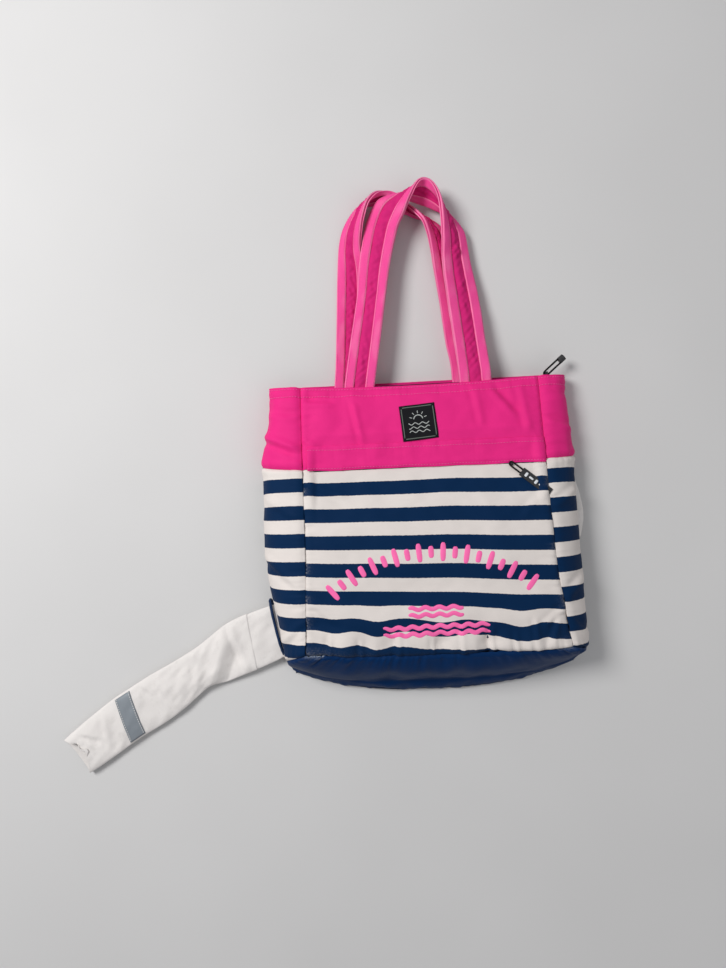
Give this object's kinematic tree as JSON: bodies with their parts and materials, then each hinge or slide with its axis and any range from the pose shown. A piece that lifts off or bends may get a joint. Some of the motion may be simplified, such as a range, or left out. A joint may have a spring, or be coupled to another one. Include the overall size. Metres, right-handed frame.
{
  "type": "zipped beach tote with a stick sleeve",
  "caption": "Padded zipped tote lying on its back, with a front pocket, two hinged strap handles, moving zip sliders and a folding stick sleeve at its side.",
  "frame": {"origin": "centre of the back panel's outer face, on the surface that the bag lies on", "axes": "+Z out of the front face, +Y from the base towards the mouth and handles, +X across the front to the right"},
  "size_m": [0.6228, 0.6752, 0.0615],
  "materials": {
    "pink_fabric": "soft woven polyester",
    "pink_webbing": "brushed webbing",
    "striped_fabric": "navy and cream stripes, padded",
    "blue_base_fabric": "coated woven polyester",
    "lining_fabric": "thin taffeta",
    "stiffener_board": "matte sheet",
    "sleeve_fabric": "limp cotton twill, off-white",
    "reflective_tape": "grey retroreflective",
    "navy_binding": "narrow binding tape",
    "zip_tape": "knitted tape",
    "zip_coil": "nylon coil",
    "slider_metal": "black lacquer",
    "black_cord": "braided cord",
    "black_rubber": "moulded, matte",
    "label_weave": "woven, black with a grey-green edge",
    "pink_print": "heat transfer print"
  },
  "bodies": {
    "bag": {"front_band": "pink_fabric", "front_pocket_panel": "striped_fabric", "pocket_backing": "lining_fabric", "back_panel": "striped_fabric", "back_band": "pink_fabric", "left_gusset_panel": "striped_fabric", "left_gusset_band": "pink_fabric", "right_gusset_panel": "striped_fabric", "right_gusset_band": "pink_fabric", "base_panel": "blue_base_fabric", "base_board": "stiffener_board", "lining": "lining_fabric", "stick_channel": "sleeve_fabric", "left_slot_binding": "navy_binding", "right_slot_lip": "sleeve_fabric", "front_hem_facing": "pink_fabric", "back_hem_facing": "pink_fabric", "front_handle_tails": "pink_fabric", "back_handle_tails": "pink_fabric", "main_zip_front_tape": "zip_tape", "main_zip_back_tape": "zip_tape", "main_zip_front_coil": "zip_coil", "main_zip_back_coil": "zip_coil", "main_zip_stops": "zip_coil", "pocket_zip_upper_tape": "zip_tape", "pocket_zip_lower_tape": "zip_tape", "pocket_zip_upper_coil": "zip_coil", "pocket_zip_lower_coil": "zip_coil", "pocket_zip_stops": "zip_coil", "woven_label": "label_weave", "front_print": "pink_print"},
    "main_slider": {"main_zip_slider": "slider_metal"},
    "main_pull": {"main_zip_puller_cord": "black_cord", "main_zip_puller_end": "black_rubber"},
    "pocket_slider": {"pocket_zip_slider": "slider_metal"},
    "pocket_pull": {"pocket_zip_puller_loop": "black_cord", "pocket_zip_puller_tab": "black_rubber"},
    "pocket_flap": {"pocket_zip_flap": "pink_fabric"},
    "front_handle": {"front_handle_pad": "pink_fabric", "front_handle_inner_webbing": "pink_webbing", "front_handle_outer_webbing": "pink_webbing"},
    "back_handle": {"back_handle_pad": "pink_fabric", "back_handle_inner_webbing": "pink_webbing", "back_handle_outer_webbing": "pink_webbing"},
    "sleeve_upper": {"sleeve_upper": "sleeve_fabric"},
    "sleeve_lower": {"sleeve_lower": "sleeve_fabric", "sleeve_reflector": "reflective_tape"}
  },
  "joints": [
    {"name": "front_handle_swing", "type": "hinge", "parent": "bag", "child": "front_handle", "pos_m": [-0.003, 0.1752, 0.0346], "axis": [1, 0, 0], "range_deg": [0, 170]},
    {"name": "back_handle_swing", "type": "hinge", "parent": "bag", "child": "back_handle", "pos_m": [-0.014, 0.1752, 0.0028], "axis": [1, 0, 0], "range_deg": [-160, 0]},
    {"name": "main_zip_slide", "type": "slide", "parent": "bag", "child": "main_slider", "axis": [-1, 0, 0], "range_m": [0, 0.294]},
    {"name": "main_zip_pull_swing", "type": "hinge", "parent": "main_slider", "child": "main_pull", "pos_m": [0.148, 0.176, 0.018], "axis": [0, 0, 1], "range_deg": [-35, 135]},
    {"name": "pocket_zip_slide", "type": "slide", "parent": "bag", "child": "pocket_slider", "axis": [-1, 0, 0], "range_m": [-0.02, 0.212]},
    {"name": "pocket_zip_pull_swing", "type": "hinge", "parent": "pocket_slider", "child": "pocket_pull", "pos_m": [0.096, 0.07133, 0.04742], "axis": [0, 0.1271, 0.9919], "range_deg": [-127, 29]},
    {"name": "pocket_flap_lift", "type": "hinge", "parent": "bag", "child": "pocket_flap", "pos_m": [0, 0.10174, 0.04322], "axis": [1, 0, 0], "range_deg": [-120, 0]},
    {"name": "sleeve_swing", "type": "hinge", "parent": "bag", "child": "sleeve_upper", "pos_m": [-0.18557, -0.10556, 0.012], "axis": [-0.0941, 0.9956, 0], "range_deg": [-85, 90]},
    {"name": "sleeve_fold", "type": "hinge", "parent": "sleeve_upper", "child": "sleeve_lower", "pos_m": [-0.275, -0.1395, 0.0124], "axis": [-0.1745, -0.9847, 0], "range_deg": [-140, 0]}
  ]
}
